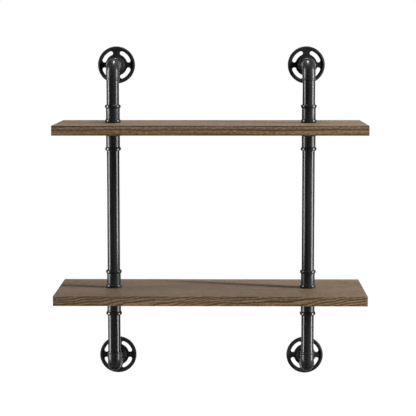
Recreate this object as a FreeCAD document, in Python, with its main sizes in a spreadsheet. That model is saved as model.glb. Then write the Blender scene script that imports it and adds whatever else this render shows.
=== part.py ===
import FreeCAD, Part
import os
import Sketcher
from FreeCAD import Placement, Rotation, Vector

# Wall shelf: two oak boards on two uprights of screwed black pipe.
# Row frame: the wall is the plane y = 0, the room is towards -Y, +Z is up and +X is to the right.
# The origin is on the wall, midway between the four wall flanges.

doc = FreeCAD.newDocument("WallShelf")

# Driving sizes, in millimetres. Shares are of the size that their name begins with.
SIZES = {
    # Boards: planed oak, drilled for the board nipples, with eased edges
    "board_length": 609.6,
    "board_depth": 228.6,
    "board_thickness": 19.05,
    "board_edge_round": 0.5,
    "board_wall_gap": 0.4,
    "board_hole_clearance": 0.6,
    # Uprights: distance between their centre lines, and the bare pipe that shows in each stretch
    "upright_spacing": 388.4,
    "top_run": 48.4,
    "middle_run": 239.2,
    "bottom_run": 74.7,
    "wall_run": 71.8,
    # Pipe: the ends are turned down to the depth of their thread
    "pipe_od": 25.0,
    "pipe_wall": 2.6,
    "thread_depth": 1.1,
    "thread_lead": 0.4,
    # Bores of the fittings: clearance round a thread, and the space that is left before a thread's end
    "thread_clearance": 0.1,
    "coupling_gap": 6.0,
    "elbow_end_gap": 1.0,
    "nipple_setback": 2.0,
    # Coupling: a sleeve with a bead at each end
    "coupling_length": 36.0,
    "coupling_wall": 2.25,
    "coupling_bead_rise": 2.15,
    "coupling_bead_length": 7.2,
    # Elbow: a plain rim at the upright end and a full bead at the wall end
    "elbow_reach": 28.5,
    "elbow_wall": 1.7,
    "elbow_throat": 2.0,
    "elbow_rim_rise": 0.8,
    "elbow_rim_length": 4.5,
    "elbow_bead_rise": 2.2,
    "elbow_bead_length": 6.0,
    # Every bead springs from the end face at this share of its rise
    "bead_end_share": 0.2,
    # Wall flange: hub, flat land, ring of kidney slots and crowned rim, from the bore outwards
    "hub_height": 14.0,
    "hub_wall": 2.7,
    "hub_draft": 0.6,
    "hub_fillet": 3.5,
    "slot_land": 3.9,
    "slot_width": 8.0,
    "rim_width": 7.7,
    "web_thickness": 4.6,
    "rim_thickness": 6.2,
    "rim_edge_thickness": 3.8,
    "rim_step": 1.2,
    "back_chamfer": 0.6,
    "slot_round": 0.8,
    "side_spoke": 10.4,
    "upright_spoke": 14.0,
}

sheet = doc.addObject("Spreadsheet::Sheet", "Sizes")
for row, (name, value) in enumerate(SIZES.items(), start=1):
    sheet.set(f"A{row}", name)
    sheet.set(f"B{row}", str(value))
    sheet.setAlias(f"B{row}", name)
doc.recompute()

# Sizes that follow from the driving ones, so that what seats together changes together
FITS = {
    "pipe_radius": "Sizes.pipe_od / 2",
    "pipe_bore": "Fits.pipe_radius - Sizes.pipe_wall",
    "thread_radius": "Fits.pipe_radius - Sizes.thread_depth",
    "socket_radius": "Fits.thread_radius + Sizes.thread_clearance",
    "board_hole": "Fits.thread_radius + Sizes.board_hole_clearance",
    "coupling_radius": "Fits.socket_radius + Sizes.coupling_wall",
    "coupling_grip": "(Sizes.coupling_length - Sizes.coupling_gap) / 2",
    "elbow_radius": "Fits.socket_radius + Sizes.elbow_wall",
    "elbow_bend": "Fits.elbow_radius + Sizes.elbow_throat",
    "elbow_grip": "Sizes.elbow_reach - Fits.elbow_bend - Sizes.elbow_end_gap",
    "flange_grip": "Sizes.hub_height - Sizes.nipple_setback",
    "hub_radius": "Fits.socket_radius + Sizes.hub_wall",
    "hub_toe": "Fits.hub_radius + Sizes.hub_draft + Sizes.hub_fillet",
    "slot_inner": "Fits.hub_toe + Sizes.slot_land",
    "slot_middle": "Fits.slot_inner + Sizes.slot_width / 2",
    "slot_outer": "Fits.slot_inner + Sizes.slot_width",
    "flange_radius": "Fits.slot_outer + Sizes.rim_width",
    # Places of the centre lines, from the wall and from the middle of the shelf
    "pipe_standoff": "Sizes.hub_height + Sizes.wall_run + Sizes.elbow_reach",
    "upright_place": "Sizes.upright_spacing / 2",
    "elbow_height": "(Sizes.top_run + Sizes.middle_run + Sizes.bottom_run) / 2"
    " + Sizes.elbow_reach + 2 * Sizes.coupling_length + Sizes.board_thickness",
    "upper_top": "Fits.elbow_height - Sizes.elbow_reach - Sizes.top_run - Sizes.coupling_length",
    "upper_bottom": "Fits.upper_top - Sizes.board_thickness",
    "lower_top": "Fits.upper_bottom - 2 * Sizes.coupling_length - Sizes.middle_run",
    "lower_bottom": "Fits.lower_top - Sizes.board_thickness",
}
fits = doc.addObject("App::VarSet", "Fits")
for name, expression in FITS.items():
    fits.addProperty("App::PropertyFloat", name, "Fits")
    fits.setExpression(name, expression)
doc.recompute()


def spot(across, up):
    """The point of a sketch that two expressions give at this moment."""
    return Vector(fits.evalExpression(across), fits.evalExpression(up), 0)


def new_sketch(body, role, name):
    """An empty sketch on one of the body's own origin planes."""
    sketch = body.newObject("Sketcher::SketchObject", name)
    plane = [feature for feature in body.Origin.OriginFeatures if feature.Role == role][0]
    sketch.AttachmentSupport = (plane, [""])
    sketch.MapMode = "FlatFace"
    return sketch


def bind(sketch, constraint, expression):
    """Adds a dimension that follows the expression."""
    index = sketch.addConstraint(constraint)
    sketch.setExpression(f"Constraints[{index}]", expression)


def hold(sketch, geometry, end, across, up):
    """Holds one point of the sketch at two distances from its origin."""
    at = spot(across, up)
    for kind, expression, value, axis in (("DistanceX", across, at.x, -2), ("DistanceY", up, at.y, -1)):
        if expression == "0":
            sketch.addConstraint(Sketcher.Constraint("PointOnObject", geometry, end, axis))
        else:
            bind(sketch, Sketcher.Constraint(kind, -1, 1, geometry, end, value), expression)


def draw_outline(sketch, corners, closed=True):
    """An outline of lines and arcs through its corners, each a pair of expressions.

    A third entry, "via", marks a point that the arc between its two neighbours passes through.
    """
    count = len(corners)
    pieces = []
    for place, corner in enumerate(corners):
        if len(corner) == 3 or (not closed and place == count - 1):
            continue
        here = spot(*corner)
        following = corners[(place + 1) % count]
        if len(following) == 3:
            through = spot(*following[:2])
            there = spot(*corners[(place + 2) % count])
            geometry = sketch.addGeometry(Part.Arc(here, through, there), False)
            marker = sketch.addGeometry(Part.Point(through), True)
            hold(sketch, marker, 1, *following[:2])
            sketch.addConstraint(Sketcher.Constraint("PointOnObject", marker, 1, geometry))
        else:
            geometry = sketch.addGeometry(Part.LineSegment(here, spot(*following)), False)
        distances = [sketch.getPoint(geometry, end).distanceToPoint(here) for end in (1, 2)]
        start, end = (1, 2) if distances[0] < distances[1] else (2, 1)
        pieces.append((geometry, start, end))
        hold(sketch, geometry, start, *corner)
    for number, (geometry, _, end) in enumerate(pieces):
        if number + 1 < len(pieces) or closed:
            other, start, _ = pieces[(number + 1) % len(pieces)]
            sketch.addConstraint(Sketcher.Constraint("Coincident", geometry, end, other, start))
        else:
            hold(sketch, geometry, end, *corners[-1])


def turn(body, name, kind, role, axis, corners):
    """A revolved feature: the outline turned once about one of the sketch's axes."""
    sketch = new_sketch(body, role, name + "Outline")
    draw_outline(sketch, corners)
    feature = body.newObject(kind, name)
    feature.Profile = sketch
    feature.ReferenceAxis = (sketch, [axis])
    return feature


def swept(body, name, kind, spine, radius):
    """A round bar or bore along a spine that starts at the elbow's upright end."""
    ring = new_sketch(body, "XY_Plane", name + "Circle")
    ring.setExpression("AttachmentOffset.Base.z", "Sizes.elbow_reach")
    circle = ring.addGeometry(Part.Circle(Vector(), Vector(0, 0, 1), fits.evalExpression(radius)), False)
    ring.addConstraint(Sketcher.Constraint("Coincident", circle, 3, -1, 1))
    bind(ring, Sketcher.Constraint("Radius", circle, fits.evalExpression(radius)), radius)
    feature = body.newObject(kind, name)
    feature.Profile = ring
    feature.Spine = spine
    return feature


def put(body, label, across, depth, height, rotation):
    """Labels the body and binds its place to expressions."""
    body.Label = label
    body.Placement = Placement(Vector(), rotation)
    for axis, expression in (("x", across), ("y", depth), ("z", height)):
        if expression != "0":
            body.setExpression(f"Placement.Base.{axis}", expression)
    parts.append(body)


def new_body():
    return doc.addObject("PartDesign::Body", "Body")


parts = []
TOUCHING = 1e-6  # points nearer than this are at one height
UPRIGHT = Rotation()
OUT_OF_WALL = Rotation(Vector(1, 0, 0), 90)
HALF_TURN = Rotation(Vector(0, 1, 0), 180)


# Boards: one plank each, with two drilled holes and all long and end edges eased by hand

def make_board(label, height):
    body = new_body()
    plan = new_sketch(body, "XY_Plane", "Plan")
    half, back, front = (
        "Sizes.board_length / 2",
        "-Sizes.board_wall_gap",
        "-Sizes.board_wall_gap - Sizes.board_depth",
    )
    draw_outline(plan, [(f"-{half}", front), (half, front), (half, back), (f"-{half}", back)])
    plank = body.newObject("PartDesign::Pad", "Plank")
    plank.Profile = plan
    plank.setExpression("Length", "Sizes.board_thickness")
    doc.recompute()
    edges = [f"Edge{number + 1}" for number in range(len(plank.Shape.Edges))]
    eased = body.newObject("PartDesign::Fillet", "EasedEdges")
    eased.Base = (plank, edges)
    eased.setExpression("Radius", "Sizes.board_edge_round")
    holes = new_sketch(body, "XY_Plane", "HoleCentres")
    for side in ("-", ""):
        centre = (f"{side}Fits.upright_place", "-Fits.pipe_standoff")
        circle = holes.addGeometry(Part.Circle(spot(*centre), Vector(0, 0, 1), fits.board_hole), False)
        hold(holes, circle, 3, *centre)
        bind(holes, Sketcher.Constraint("Radius", circle, fits.board_hole), "Fits.board_hole")
    drilled = body.newObject("PartDesign::Pocket", "Drilled")
    drilled.Profile = holes
    drilled.Type = "ThroughAll"
    drilled.SideType = "Symmetric"
    put(body, label, "0", "0", height, UPRIGHT)


make_board("board_upper", "Fits.upper_bottom")
make_board("board_lower", "Fits.lower_bottom")


# Pipes: plain tube between two threaded ends, which are turned down and chamfered

def make_pipe(label, run, grip_start, grip_end, across, depth, height, rotation):
    body = new_body()
    start, stop = grip_start, f"{grip_start} + {run}"
    end = f"{stop} + {grip_end}"
    tip = "Fits.thread_radius - Sizes.thread_lead"
    turn(body, "Tube", "PartDesign::Revolution", "XZ_Plane", "V_Axis", [
        ("Fits.pipe_bore", "0"),
        (tip, "0"),
        ("Fits.thread_radius", "Sizes.thread_lead"),
        ("Fits.thread_radius", start),
        ("Fits.pipe_radius", start),
        ("Fits.pipe_radius", stop),
        ("Fits.thread_radius", stop),
        ("Fits.thread_radius", f"{end} - Sizes.thread_lead"),
        (tip, end),
        ("Fits.pipe_bore", end),
    ])
    put(body, label, across, depth, height, rotation)


# Board nipple: threaded from end to end, it passes through the board into both couplings

def make_board_nipple(label, across, board_bottom):
    body = new_body()
    length = "Sizes.board_thickness + 2 * Fits.coupling_grip"
    tip = "Fits.thread_radius - Sizes.thread_lead"
    turn(body, "Nipple", "PartDesign::Revolution", "XZ_Plane", "V_Axis", [
        ("Fits.pipe_bore", "0"),
        (tip, "0"),
        ("Fits.thread_radius", "Sizes.thread_lead"),
        ("Fits.thread_radius", f"{length} - Sizes.thread_lead"),
        (tip, length),
        ("Fits.pipe_bore", length),
    ])
    put(body, label, across, "-Fits.pipe_standoff", f"{board_bottom} - Fits.coupling_grip", UPRIGHT)


# Coupling: a cast sleeve with a round bead at each end and a countersunk bore

def make_coupling(label, across, height):
    body = new_body()
    length = "Sizes.coupling_length"
    mouth = "Fits.socket_radius + Sizes.thread_lead"
    root = "Fits.coupling_radius + Sizes.coupling_bead_rise * Sizes.bead_end_share"
    crest = "Fits.coupling_radius + Sizes.coupling_bead_rise"
    turn(body, "Sleeve", "PartDesign::Revolution", "XZ_Plane", "V_Axis", [
        (mouth, "0"),
        (root, "0"),
        (crest, "Sizes.coupling_bead_length / 2", "via"),
        ("Fits.coupling_radius", "Sizes.coupling_bead_length"),
        ("Fits.coupling_radius", f"{length} - Sizes.coupling_bead_length"),
        (crest, f"{length} - Sizes.coupling_bead_length / 2", "via"),
        (root, length),
        (mouth, length),
        ("Fits.socket_radius", f"{length} - Sizes.thread_lead"),
        ("Fits.socket_radius", "Sizes.thread_lead"),
    ])
    put(body, label, across, "-Fits.pipe_standoff", height, UPRIGHT)


# Elbow: drawn with one leg up and one leg towards the wall, and the crossing of their axes at its origin

def make_elbow(label, across, height, rotation):
    body = new_body()
    reach, bend, bore = "Sizes.elbow_reach", "Fits.elbow_bend", "Fits.socket_radius"
    spine = new_sketch(body, "YZ_Plane", "Spine")
    inside = f"{bend} * (1 - sqrt(0.5))"
    corners = [("0", reach), ("0", bend), (inside, inside, "via"), (bend, "0"), (reach, "0")]
    draw_outline(spine, corners, closed=False)
    swept(body, "Casting", "PartDesign::AdditivePipe", spine, "Fits.elbow_radius")

    def bead(name, rise, length, axis):
        root = f"Fits.elbow_radius + {rise} * Sizes.bead_end_share"
        ring = [
            (bore, f"{reach} - {length}"),
            ("Fits.elbow_radius", f"{reach} - {length}"),
            (f"Fits.elbow_radius + {rise}", f"{reach} - {length} / 2", "via"),
            (root, reach),
            (bore, reach),
        ]
        if axis == "H_Axis":
            ring = [(corner[1], corner[0]) + corner[2:] for corner in ring]
        turn(body, name, "PartDesign::Revolution", "YZ_Plane", axis, ring)

    bead("UprightRim", "Sizes.elbow_rim_rise", "Sizes.elbow_rim_length", "V_Axis")
    bead("WallBead", "Sizes.elbow_bead_rise", "Sizes.elbow_bead_length", "H_Axis")
    swept(body, "Passage", "PartDesign::SubtractivePipe", spine, "Fits.pipe_bore")
    socket = [
        ("0", bend),
        (bore, bend),
        (bore, f"{reach} - Sizes.thread_lead"),
        (f"{bore} + Sizes.thread_lead", reach),
        ("0", reach),
    ]
    turn(body, "UprightSocket", "PartDesign::Groove", "YZ_Plane", "V_Axis", socket)
    lying_socket = [corner[::-1] for corner in socket]
    turn(body, "WallSocket", "PartDesign::Groove", "YZ_Plane", "H_Axis", lying_socket)
    put(body, label, across, "-Fits.pipe_standoff", height, rotation)


# Wall flange: hub, web and crowned rim turned in one, then four kidney slots for the wall screws

def cut_slots(body):
    """One kidney slot through the web, mirrored sideways and upwards into four."""
    kidney = new_sketch(body, "XY_Plane", "Kidney")
    low = "(Sizes.side_spoke + Sizes.slot_width) / 2"
    high = "(Sizes.upright_spoke + Sizes.slot_width) / 2"
    low_centre = spot(f"sqrt(Fits.slot_middle ^ 2 - ({low}) ^ 2)", low)
    high_centre = spot(high, f"sqrt(Fits.slot_middle ^ 2 - ({high}) ^ 2)")
    towards_low, towards_high = low_centre / fits.slot_middle, high_centre / fits.slot_middle
    between = (towards_low + towards_high).normalize()
    sides = []
    for radius in ("slot_outer", "slot_inner"):
        size = getattr(fits, radius)
        side = kidney.addGeometry(Part.Arc(towards_low * size, between * size, towards_high * size), False)
        kidney.addConstraint(Sketcher.Constraint("Coincident", side, 3, -1, 1))
        bind(kidney, Sketcher.Constraint("Radius", side, size), f"Fits.{radius}")
        sides.append(side)
    half = fits.slot_outer - fits.slot_middle
    for kind, distance, centre, towards, side_end in (
        ("DistanceY", low, low_centre, towards_low, 1),
        ("DistanceX", high, high_centre, towards_high, 2),
    ):
        outwards = 1 if side_end == 2 else -1
        tip = centre + Vector(-towards.y, towards.x, 0) * half * outwards
        cap = kidney.addGeometry(Part.Arc(centre + towards * half, tip, centre - towards * half), False)
        outer_end = 3 - side_end
        kidney.addConstraint(Sketcher.Constraint("Tangent", cap, outer_end, sides[0], side_end))
        kidney.addConstraint(Sketcher.Constraint("Tangent", cap, side_end, sides[1], side_end))
        bind(kidney, Sketcher.Constraint(kind, -1, 1, cap, 3, fits.evalExpression(distance)), distance)
    slot = body.newObject("PartDesign::Pocket", "Slot")
    slot.Profile = kidney
    slot.Type = "ThroughAll"
    slot.SideType = "Symmetric"
    four = body.newObject("PartDesign::MultiTransform", "FourSlots")
    four.Originals = [slot]
    mirrors = []
    for name, role in (("Sideways", "YZ_Plane"), ("Upwards", "XZ_Plane")):
        mirror = body.newObject("PartDesign::Mirrored", name)
        mirror.MirrorPlane = ([item for item in body.Origin.OriginFeatures if item.Role == role][0], [""])
        mirrors.append(mirror)
    four.Transformations = mirrors
    body.Tip = four
    return four


def slot_edges(shape):
    """Names of the edges round the slots on the front of the web: open edges that keep to its height."""
    names = []
    web_front = SIZES["web_thickness"]
    for number, edge in enumerate(shape.Edges, start=1):
        offsets = [abs(vertex.Z - web_front) for vertex in edge.Vertexes]
        if len(offsets) == 2 and max(offsets) < TOUCHING:
            names.append(f"Edge{number}")
    return names


def make_flange(label, across, height):
    body = new_body()
    mouth = "Fits.socket_radius + Sizes.thread_lead"
    foot = "Fits.hub_radius + Sizes.hub_draft"
    inset = "Sizes.hub_fillet * (1 - sqrt(0.5))"
    rim_start = "Fits.slot_outer + Sizes.rim_step"
    turn(body, "Disc", "PartDesign::Revolution", "XZ_Plane", "V_Axis", [
        (mouth, "0"),
        ("Fits.flange_radius - Sizes.back_chamfer", "0"),
        ("Fits.flange_radius", "Sizes.back_chamfer"),
        ("Fits.flange_radius", "Sizes.rim_edge_thickness"),
        (f"(Fits.flange_radius + {rim_start}) / 2", "Sizes.rim_thickness", "via"),
        (rim_start, "Sizes.web_thickness"),
        ("Fits.hub_toe", "Sizes.web_thickness"),
        (f"{foot} + {inset}", f"Sizes.web_thickness + {inset}", "via"),
        (foot, "Sizes.web_thickness + Sizes.hub_fillet"),
        ("Fits.hub_radius", "Sizes.hub_height - Sizes.thread_lead"),
        ("Fits.hub_radius - Sizes.thread_lead", "Sizes.hub_height"),
        (mouth, "Sizes.hub_height"),
        ("Fits.socket_radius", "Sizes.hub_height - Sizes.thread_lead"),
        ("Fits.socket_radius", "Sizes.thread_lead"),
    ])
    slots = cut_slots(body)
    doc.recompute()
    rounded_slots = body.newObject("PartDesign::Fillet", "RoundedSlots")
    rounded_slots.Base = (slots, slot_edges(slots.Shape))
    rounded_slots.setExpression("Radius", "Sizes.slot_round")
    put(body, label, across, "0", height, OUT_OF_WALL)


# The two uprights, each from flange to flange
for side, across in (("left", "-Fits.upright_place"), ("right", "Fits.upright_place")):
    standoff = "-Fits.pipe_standoff"
    ends = (("top", "Fits.elbow_height", HALF_TURN), ("bottom", "-Fits.elbow_height", UPRIGHT))
    for row, height, rotation in ends:
        make_flange(f"flange_{row}_{side}", across, height)
        make_pipe(f"wall_nipple_{row}_{side}", "Sizes.wall_run", "Fits.flange_grip", "Fits.elbow_grip",
                  across, "-Sizes.nipple_setback", height, OUT_OF_WALL)
        make_elbow(f"elbow_{row}_{side}", across, height, rotation)
    make_pipe(f"drop_pipe_top_{side}", "Sizes.top_run", "Fits.coupling_grip", "Fits.elbow_grip",
              across, standoff, "Fits.upper_top + Sizes.coupling_length - Fits.coupling_grip", UPRIGHT)
    make_pipe(f"middle_pipe_{side}", "Sizes.middle_run", "Fits.coupling_grip", "Fits.coupling_grip",
              across, standoff, "Fits.lower_top + Sizes.coupling_length - Fits.coupling_grip", UPRIGHT)
    make_pipe(f"drop_pipe_bottom_{side}", "Sizes.bottom_run", "Fits.elbow_grip", "Fits.coupling_grip",
              across, standoff, "Sizes.elbow_reach - Fits.elbow_height - Fits.elbow_grip", UPRIGHT)
    for board in ("upper", "lower"):
        top, bottom = f"Fits.{board}_top", f"Fits.{board}_bottom"
        make_coupling(f"coupling_{board}_above_{side}", across, top)
        make_coupling(f"coupling_{board}_below_{side}", across, f"{bottom} - Sizes.coupling_length")
        make_board_nipple(f"board_nipple_{board}_{side}", across, bottom)

doc.recompute()

failed = [item.Label for item in doc.Objects if {"Invalid", "Error"} & set(item.State)]
failed += [body.Label for body in parts if body.Shape.isNull() or not body.Shape.isValid()]
if failed:
    raise RuntimeError(f"these did not build: {failed}")

os.makedirs("parts", exist_ok=True)
for body in parts:
    body.Shape.exportStep(f"parts/{body.Label}.step")
print(len(parts), "parts written")
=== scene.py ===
from math import pi
from statistics import fmean

import bmesh
import bpy
from mathutils import Matrix, Vector


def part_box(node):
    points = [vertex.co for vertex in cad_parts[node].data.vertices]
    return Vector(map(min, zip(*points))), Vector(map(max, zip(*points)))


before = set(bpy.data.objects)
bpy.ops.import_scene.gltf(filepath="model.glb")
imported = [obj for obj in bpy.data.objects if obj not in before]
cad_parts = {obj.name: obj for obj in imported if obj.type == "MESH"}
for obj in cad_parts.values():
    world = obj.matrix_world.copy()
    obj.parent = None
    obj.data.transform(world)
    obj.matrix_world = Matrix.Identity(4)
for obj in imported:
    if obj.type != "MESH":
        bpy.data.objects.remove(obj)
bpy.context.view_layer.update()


# Boards: two planks of flat-sawn oak, planed, with eased edges, stained grey-brown and sealed
# with a satin lacquer. The heart of the log lay in front of each plank and a little below it,
# so the growth rings run straight along the top and show as long lines on the front edge.

class Socket:
    """A value that varies over a surface; arithmetic on it adds Math nodes."""

    def __init__(self, nodes, output):
        self.nodes, self.output = nodes, output

    def __add__(self, other):
        return self.nodes.math("ADD", self, other)

    def __sub__(self, other):
        return self.nodes.math("SUBTRACT", self, other)

    def __rsub__(self, other):
        return self.nodes.math("SUBTRACT", other, self)

    def __mul__(self, other):
        return self.nodes.math("MULTIPLY", self, other)

    def __truediv__(self, other):
        return self.nodes.math("DIVIDE", self, other)

    def __pow__(self, other):
        return self.nodes.math("POWER", self, other)

    def __abs__(self):
        return self.nodes.math("ABSOLUTE", self)

    __radd__, __rmul__ = __add__, __mul__


def grey(level):
    return (level, level, level, 1)


class Nodes:
    """The nodes of a material or of the sky, and the shader that they feed."""

    def __init__(self, tree, shader, **uniform):
        self.tree, self.shader = tree, tree.nodes[shader]
        for socket, value in uniform.items():
            self.shader.inputs[socket.replace("_", " ")].default_value = value

    def node(self, kind, settings=None, inputs=None, output=0):
        """Adds a node: its settings first, then a value or a link for each socket."""
        node = self.tree.nodes.new(kind)
        for name, setting in (settings or {}).items():
            if name == "stops":
                for _ in setting[2:]:  # a new ramp has two stops already
                    node.color_ramp.elements.new(1)
                for stop, (position, level) in zip(node.color_ramp.elements, setting):
                    stop.position = position
                    stop.color = grey(level)
            else:
                setattr(node, name, setting)
        for name, value in (inputs or {}).items():
            if isinstance(value, Socket):
                self.tree.links.new(value.output, node.inputs[name])
            else:
                node.inputs[name].default_value = value
        return Socket(self, node.outputs[output])

    def math(self, operation, *inputs):
        return self.node("ShaderNodeMath", {"operation": operation}, dict(enumerate(inputs)))

    def feed(self, **links):
        for socket, value in links.items():
            self.tree.links.new(value.output, self.shader.inputs[socket.replace("_", " ")])


class Finish(Nodes):
    """A material in the making, whose patterns lie still in the object."""

    def __init__(self, name, **uniform):
        self.material = bpy.data.materials.new(name)
        self.material.use_nodes = True
        super().__init__(self.material.node_tree, "Principled BSDF", **uniform)
        self.place = self.node("ShaderNodeTexCoord", output="Object")

    def axis(self, name):
        return self.node("ShaderNodeSeparateXYZ", {}, {0: self.place}, output=name)

    def noise(self, per_metre, detail=2.0, roughness=0.5):
        """Noise from 0 to 1 with its own number of waves in a metre along each axis."""
        stretched = self.node("ShaderNodeVectorMath", {"operation": "MULTIPLY"},
                              {0: self.place, 1: per_metre})
        return self.node("ShaderNodeTexNoise", {}, {
            "Vector": stretched, "Scale": 1.0, "Detail": detail, "Roughness": roughness,
        }, output="Fac")

    def ramp(self, value, *stops):
        return self.node("ShaderNodeValToRGB", {"stops": stops}, {"Fac": value})

    def mix(self, share, first, second):
        """Blends two colours, each a tuple or a socket, by a share from 0 to 1."""
        colours = [colour if isinstance(colour, Socket) else (*colour, 1) for colour in (first, second)]
        inputs = {0: share, 6: colours[0], 7: colours[1]}  # the sockets before 6 mix numbers and vectors
        return self.node("ShaderNodeMix", {"data_type": "RGBA"}, inputs, output=2)

    def bump(self, height, strength, depth):
        self.feed(Normal=self.node("ShaderNodeBump", {}, {
            "Height": height, "Strength": strength, "Distance": depth,
        }, output="Normal"))


def put_on(finish, *pieces):
    """Gives pieces their finish in place of the plain one that they came with."""
    for name in pieces:
        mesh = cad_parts[name].data
        mesh.materials.clear()
        mesh.materials.append(finish.material)


HEART_IN_FRONT = 0.075  # of the front edge
HEART_BELOW = 0.030  # the middle of the plank
NOISE_MIDDLE = 0.5
YEAR_SHADES = (0.0, 0.0), (0.2, 0.8), (0.75, 1.0), (1.0, 0.1)  # dark where a year begins and ends
YEAR_MIDDLE = 0.75  # the shade that leaves the lightness as it is
PORE_EDGE = (0.36, 0.0), (0.5, 1.0)
OAK_DARK = (0.042, 0.025, 0.012)
OAK_MIDDLE = (0.118, 0.077, 0.044)
OAK_PALE = (0.185, 0.127, 0.078)
PALE_PART = (0.55, 0.0), (1.0, 1.0)  # of the scale of lightness
STREAK_SHARE, CLOUD_SHARE = 0.8, 0.35  # of the lightness
STAIN_IN_PORES = 0.4
ROUGHNESS_IN_PORES, SMOOTHER_OFF_PORES = 0.66, 0.08
PORE_RELIEF, GRAIN_RELIEF = 0.6, 0.4


def stain_board(board, ring, sway, waver, slant, figure, speckle):
    """Stains a board. Its rings are so wide, sway and waver so far, and slant so much along it;
    the figure is what they bring to its lightness, and the speckle what the flecks bring."""
    low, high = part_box(board)
    oak = Finish(f"stained_{board}", Specular_IOR_Level=0.12, Sheen_Weight=0.011)
    along, depth, height = map(oak.axis, "XYZ")
    behind_heart = depth - (low.y - HEART_IN_FRONT)
    above_heart = height - ((low.z + high.z) / 2 - HEART_BELOW)
    from_heart = (behind_heart * behind_heart + above_heart * above_heart) ** 0.5
    long_wave = oak.noise(per_metre=(7, 16, 24)) - NOISE_MIDDLE
    short_wave = oak.noise(per_metre=(34, 60, 110)) - NOISE_MIDDLE
    rings = (from_heart + long_wave * sway + short_wave * waver - along * slant) / ring
    grain = oak.ramp(oak.math("FRACT", rings), *YEAR_SHADES) - YEAR_MIDDLE
    off_pores = oak.ramp(oak.noise(per_metre=(45, 1300, 1300), detail=1.0), *PORE_EDGE)
    cloud = oak.noise(per_metre=(3.5, 14, 30), detail=3.0)
    streak = oak.noise(per_metre=(5, 260, 260))
    fleck = oak.noise(per_metre=(160, 480, 480), roughness=0.6) - NOISE_MIDDLE
    light = grain * figure + streak * STREAK_SHARE + cloud * CLOUD_SHARE + fleck * speckle
    wood = oak.mix(light, OAK_DARK, OAK_MIDDLE)
    wood = oak.mix(oak.ramp(light, *PALE_PART), wood, OAK_PALE)
    wood = oak.mix((1 - off_pores) * STAIN_IN_PORES, wood, OAK_DARK)
    oak.feed(Base_Color=wood, Roughness=ROUGHNESS_IN_PORES - off_pores * SMOOTHER_OFF_PORES)
    oak.bump(off_pores * PORE_RELIEF + grain * GRAIN_RELIEF, strength=0.35, depth=0.0002)
    put_on(oak, board)


stain_board("board_upper", ring=0.00338, sway=0.0025, waver=0.0006, slant=0.0, figure=0.7, speckle=1.6)
stain_board("board_lower", ring=0.0020, sway=0.012, waver=0.0011, slant=0.04, figure=1.0, speckle=1.2)


# Pipes: steel tube, drawn smooth, with a thin coat of semi-gloss black paint that flows out
# to a faint orange peel. Threaded ends screw into the fittings, so only the plain part shows.

PIPE_BLACK, PIPE_GREY = (0.009, 0.009, 0.010), (0.016, 0.016, 0.017)
PIPE_ROUGHNESS, SMEAR_ROUGHNESS = 0.19, 0.08  # of bare paint, and what smears add to it

sides, rows, levels = ("left", "right"), ("top", "bottom"), ("upper", "lower")
black_pipe = Finish("black_pipe", Specular_IOR_Level=0.38)
peel = black_pipe.noise(per_metre=(420, 420, 420), detail=1.0)
smear = black_pipe.noise(per_metre=(30, 30, 9), detail=3.0)
black_pipe.feed(
    Base_Color=black_pipe.mix(smear, PIPE_BLACK, PIPE_GREY),
    Roughness=smear * SMEAR_ROUGHNESS + PIPE_ROUGHNESS,
)
black_pipe.bump(peel, strength=0.05, depth=0.00002)
for side in sides:
    put_on(black_pipe, f"middle_pipe_{side}")
    for row in rows:
        put_on(black_pipe, f"drop_pipe_{row}_{side}", f"wall_nipple_{row}_{side}")
    for level in levels:
        put_on(black_pipe, f"board_nipple_{level}_{side}")


# Fittings: elbows, couplings and wall flanges of malleable iron, cast in sand, tumbled and
# painted with the same black, which the grain of the sand makes a little rougher. The elbows
# have a clear lacquer over it, and the crests of the couplings' beads are ground and rubbed.

CAST_BLACK, CAST_GREY = (0.008, 0.008, 0.009), (0.014, 0.014, 0.015)
CAST_GRAIN = 0.000005  # how high the swells of a casting stand
SAND_SHARE = 0.3  # of that height, for the grains of sand
SWELL_ROUGHNESS = 0.10
CREST_FROM_END = 0.0036  # of a coupling
CREST_HALF = 0.0024  # of the width that is ground
CREST_CUT = 0.00046  # what the grinding leaves beside a crest
RUBBED_SHARE = 0.45  # of the roughness, on a crest


def off_crest(casting):
    """How far a point of a coupling lies off the crest of its nearer bead: 0 on it, 1 well off.
    Both boards and both ends of a coupling are alike, so the height is folded over at each middle."""
    upper_board, lower_board, coupling = (
        [corner.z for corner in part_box(node)]
        for node in ("board_upper", "board_lower", "coupling_upper_above_left")
    )
    upper_middle, lower_middle, coupling_middle = map(fmean, (upper_board, lower_board, coupling))
    distance = casting.axis("Z")
    for mirror_plane in (
        (upper_middle + lower_middle) / 2,
        (upper_middle - lower_middle) / 2,
        coupling_middle - upper_middle,
        coupling[1] - coupling_middle - CREST_FROM_END,
    ):
        distance = abs(distance - mirror_plane)
    return casting.math("MINIMUM", distance / CREST_HALF, 1.0)


def painted_casting(name, smoothest, specular, rubbed_crests=False, **lacquer):
    """The finish of a cast fitting: the swell of the casting shows in its colour, gloss and relief."""
    casting = Finish(name, Specular_IOR_Level=specular, **lacquer)
    sand = casting.noise(per_metre=(700, 700, 700), detail=3.0, roughness=0.6)
    swell = casting.noise(per_metre=(90, 90, 90))
    roughness = swell * SWELL_ROUGHNESS + smoothest
    height = (sand * SAND_SHARE + swell) * CAST_GRAIN
    if rubbed_crests:
        off = off_crest(casting)
        roughness = roughness * (off * (1 - RUBBED_SHARE) + RUBBED_SHARE)
        height = height + off * off * CREST_CUT
    casting.feed(Base_Color=casting.mix(swell, CAST_BLACK, CAST_GREY), Roughness=roughness)
    casting.bump(height, strength=1.0, depth=1.0)
    return casting


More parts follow.
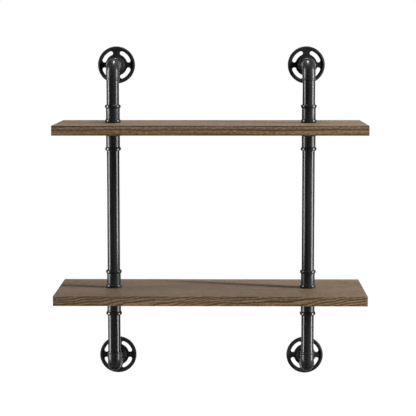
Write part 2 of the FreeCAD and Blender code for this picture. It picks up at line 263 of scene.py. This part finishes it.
flange_paint = painted_casting("flange_paint", smoothest=0.45, specular=0.16)
elbow_paint = painted_casting("elbow_paint", smoothest=0.46, specular=0.22,
                              Coat_Weight=0.62, Coat_Roughness=0.25)
coupling_paint = painted_casting("coupling_paint", smoothest=0.28, specular=0.5, rubbed_crests=True)
for side in sides:
    for row in rows:
        put_on(flange_paint, f"flange_{row}_{side}")
        put_on(elbow_paint, f"elbow_{row}_{side}")
    for level in levels:
        for place in ("above", "below"):
            put_on(coupling_paint, f"coupling_{level}_{place}_{side}")


# Studio: a pale floor well below the shelf under an even white sky. Black curtains hang all
# round, open behind the shelf; only glossy reflections meet them, so the paint stays black.

def studio_piece(name, shape, finish):
    mesh = bpy.data.meshes.new(name)
    shape.to_mesh(mesh)
    shape.free()
    mesh.materials.append(finish.material)
    piece = bpy.data.objects.new(name, mesh)
    bpy.context.scene.collection.objects.link(piece)
    return piece


FLOOR_LEVEL = -1.3
FLOOR_SIDE = 12.0
FLOOR_GREY = 0.86
SHOWN_SHARE = 0.9  # of the floor's brightness that doesn't depend on the lamps
SHOWN_STRENGTH = 1.09
floor_paint = Finish("floor_paint", Roughness=0.9, Base_Color=grey(FLOOR_GREY))
seen = floor_paint.node("ShaderNodeLightPath", output="Is Camera Ray")
white = floor_paint.node("ShaderNodeEmission", {}, {"Strength": SHOWN_STRENGTH})
clear = floor_paint.node("ShaderNodeBsdfTransparent")
from_below = floor_paint.node("ShaderNodeNewGeometry", output="Backfacing")
paint = Socket(floor_paint, floor_paint.shader.outputs["BSDF"])
lit = floor_paint.node("ShaderNodeMixShader", {}, {0: seen * SHOWN_SHARE, 1: paint, 2: white})
shown = floor_paint.node("ShaderNodeMixShader", {}, {0: from_below, 1: lit, 2: clear})
floor_paint.tree.links.new(shown.output, floor_paint.tree.nodes["Material Output"].inputs["Surface"])
ground = bmesh.new()
bmesh.ops.create_grid(ground, x_segments=1, y_segments=1, size=FLOOR_SIDE / 2,
                      matrix=Matrix.Translation((0, 0, FLOOR_LEVEL)))
floor = studio_piece("floor", ground, floor_paint)
floor.visible_glossy = False

AMBIENT = 0.035
world = bpy.data.worlds.new("white_room")
world.use_nodes = True
bpy.context.scene.world = world
sky = Nodes(world.node_tree, "Background", Color=grey(1))
camera_ray, glossy_ray, transmission_ray = (
    sky.node("ShaderNodeLightPath", output=f"Is {kind} Ray") for kind in ("Camera", "Glossy", "Transmission")
)
shown_white = sky.math("MAXIMUM", sky.math("MAXIMUM", camera_ray, glossy_ray), transmission_ray)
sky.feed(Strength=shown_white * (1 - AMBIENT) + AMBIENT)

TENT_SIZE = (6.7, 8.7, 6.7)
TENT_MIDDLE = (0.0, -1.35, -0.3)
OPENING_RIM = 2.5  # leaves what the camera sees behind the shelf
VELVET_GREY = 0.004
tent = bmesh.new()
bmesh.ops.create_cube(tent, matrix=Matrix.LocRotScale(TENT_MIDDLE, None, TENT_SIZE))
back = max(tent.faces, key=lambda face: face.normal.y)
bmesh.ops.inset_region(tent, faces=[back], thickness=OPENING_RIM)
bmesh.ops.delete(tent, geom=[back], context="FACES")
velvet = Finish("black_velvet", Roughness=1.0, Base_Color=grey(VELVET_GREY), Specular_IOR_Level=0.0)
curtains = studio_piece("black_curtains", tent, velvet)
for meets in ("camera", "diffuse", "transmission", "shadow"):
    setattr(curtains, f"visible_{meets}", False)


def softbox(name, place, aim, width, length, watts, reflected=True):
    """An area lamp at a place, turned to shine at the aim; its length runs upwards."""
    lamp = bpy.data.lights.new(name, "AREA")
    lamp.shape = "RECTANGLE"
    lamp.size, lamp.size_y = width, length
    lamp.energy = watts
    holder = bpy.data.objects.new(name, lamp)
    holder.location = place
    holder.rotation_mode = "QUATERNION"
    holder.rotation_quaternion = (Vector(aim) - Vector(place)).to_track_quat("-Z", "Y")
    holder.visible_camera = False
    holder.visible_glossy = reflected
    bpy.context.scene.collection.objects.link(holder)


uprights = fmean(corner.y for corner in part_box("middle_pipe_left"))
softbox("right_strip", place=(2.85, -0.66, 0.2), aim=(0, uprights, 0.2), width=0.85, length=2.8, watts=138)
softbox("left_strip", place=(-2.75, -0.44, 0.2), aim=(0, uprights, 0.2), width=0.85, length=2.8, watts=127)
softbox("key_softbox", place=(2.434, -0.87, 1.10), aim=(0, uprights, -0.1),
        width=0.24, length=0.90, watts=184, reflected=False)
softbox("overhead_softbox", place=(0, 0.14, 1.25), aim=(0, 0, 0), width=0.18, length=0.40, watts=7.5)
softbox("hanging_softbox", place=(0, 0.09, 1.25), aim=(0, 0.02, 0),
        width=1.9, length=0.10, watts=12, reflected=False)
softbox("back_softbox", place=(0, 2.2, -0.9), aim=(0, 0, 0),
        width=0.8, length=0.5, watts=60, reflected=False)


# Camera: the fitted viewpoint of the photograph, a long lens 3.3 m away and a little above
# the upper board, turned down by about six degrees.

CAMERA_PLACE = (0.03455, -3.27024, 0.34472)
YAW, PITCH, ROLL = 0.0127, 0.1032, -0.0005
FOCAL_PIXELS, PICTURE_PIXELS = 1590.29, 416
view = bpy.data.cameras.new("camera")
view.lens = view.sensor_width * FOCAL_PIXELS / PICTURE_PIXELS
camera = bpy.data.objects.new("camera", view)
camera.matrix_world = (
    Matrix.Translation(CAMERA_PLACE)
    @ Matrix.Rotation(YAW, 4, "Z")
    @ Matrix.Rotation(pi / 2 - PITCH, 4, "X")
    @ Matrix.Rotation(ROLL, 4, "Z")
)
bpy.context.scene.collection.objects.link(camera)
bpy.context.scene.camera = camera
bpy.context.scene.view_settings.view_transform = "Standard"
